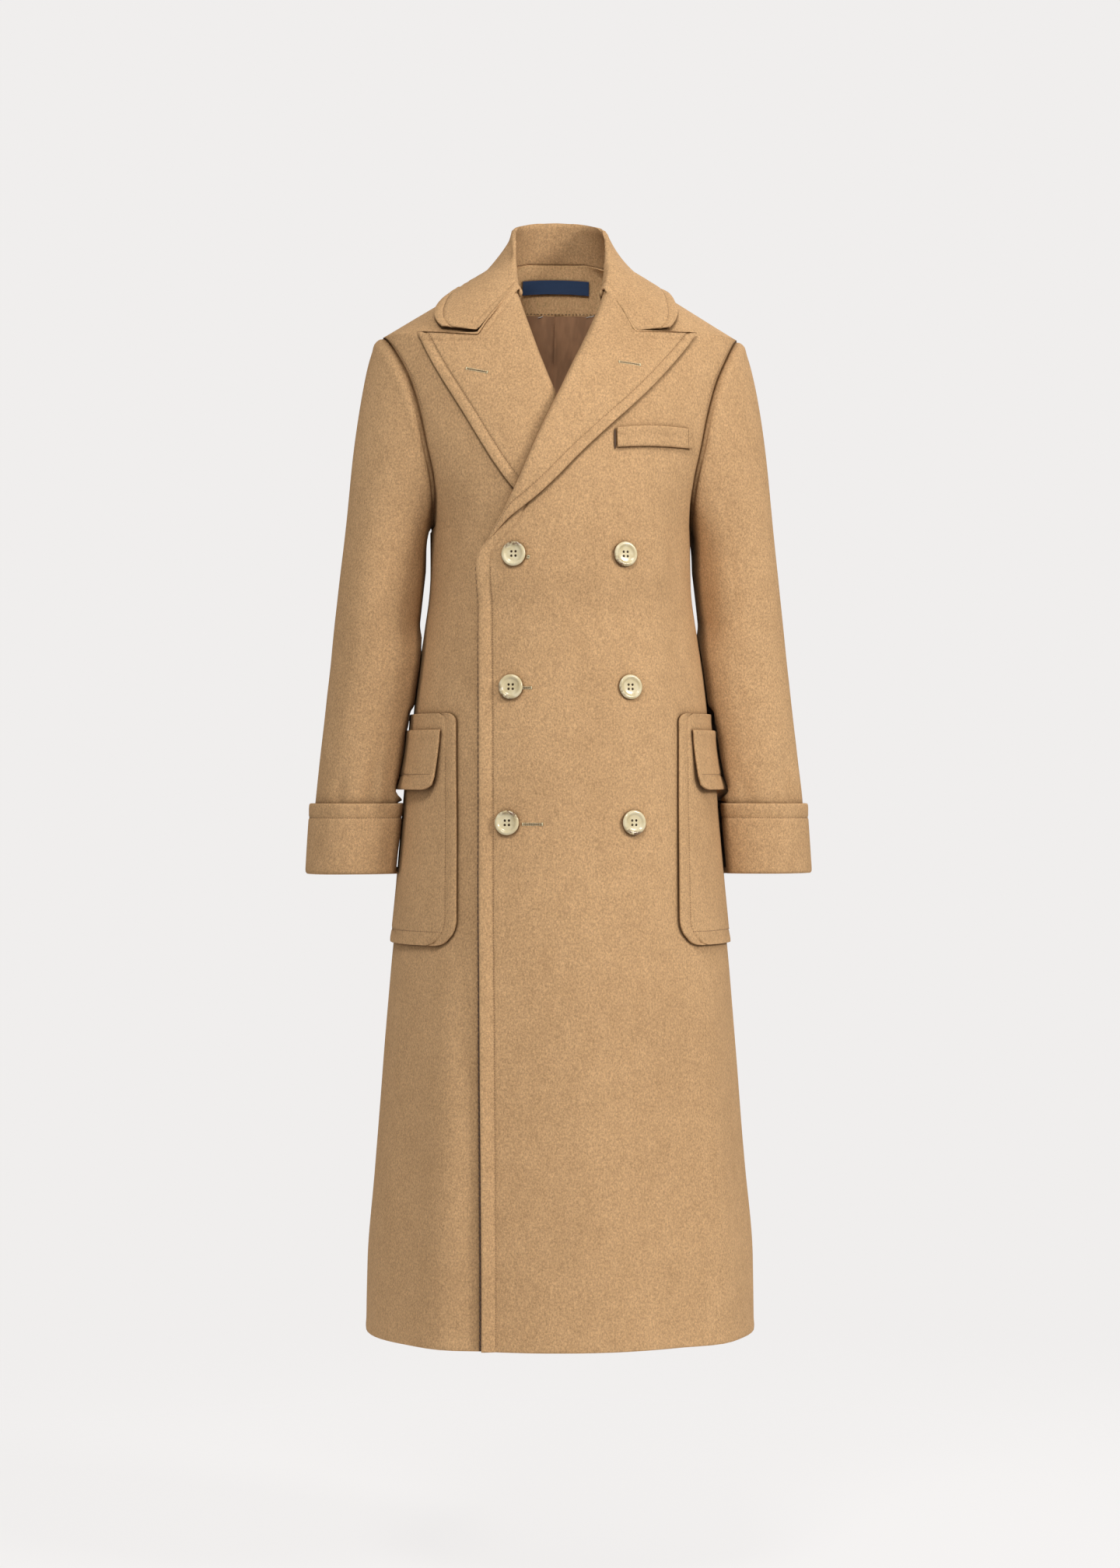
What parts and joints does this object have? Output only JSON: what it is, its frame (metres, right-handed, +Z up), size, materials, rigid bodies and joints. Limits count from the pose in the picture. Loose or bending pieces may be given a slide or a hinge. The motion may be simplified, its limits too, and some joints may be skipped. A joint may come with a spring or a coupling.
{
  "type": "double-breasted polo coat",
  "caption": "Full-length double-breasted wool coat with peak lapels, turned-back cuffs and flapped patch pockets, hollow as if worn.",
  "frame": {"origin": "midway between the two shoulder neck points, where a wearer's shoulders hold the coat", "axes": "+Z up, the coat faces -Y, +X towards the wearer's left"},
  "size_m": [0.5656, 0.3828, 1.243],
  "materials": {
    "cloth": "brushed wool melton, matt, short nap",
    "lining": "satin",
    "label": "plain woven ribbon",
    "horn": "polished pale horn with brown marks"
  },
  "bodies": {
    "root": {"front_left": "cloth", "front_right": "cloth", "back_left": "cloth", "back_right": "cloth", "sleeve_top_left": "cloth", "sleeve_under_left": "cloth", "sleeve_top_right": "cloth", "sleeve_under_right": "cloth", "cuff_left": "cloth", "cuff_right": "cloth", "collar_leaf": "cloth", "collar_stand": "cloth", "lapel_left": "cloth", "lapel_right": "cloth", "pocket_left": "cloth", "pocket_right": "cloth", "flap_left": "cloth", "flap_right": "cloth", "breast_welt": "cloth", "button_left_1": "horn", "button_left_2": "horn", "button_left_3": "horn", "button_right_1": "horn", "button_right_2": "horn", "button_right_3": "horn", "neck_facing": "cloth", "neck_label": "label", "lining_back": "lining"}
  },
  "joints": []
}
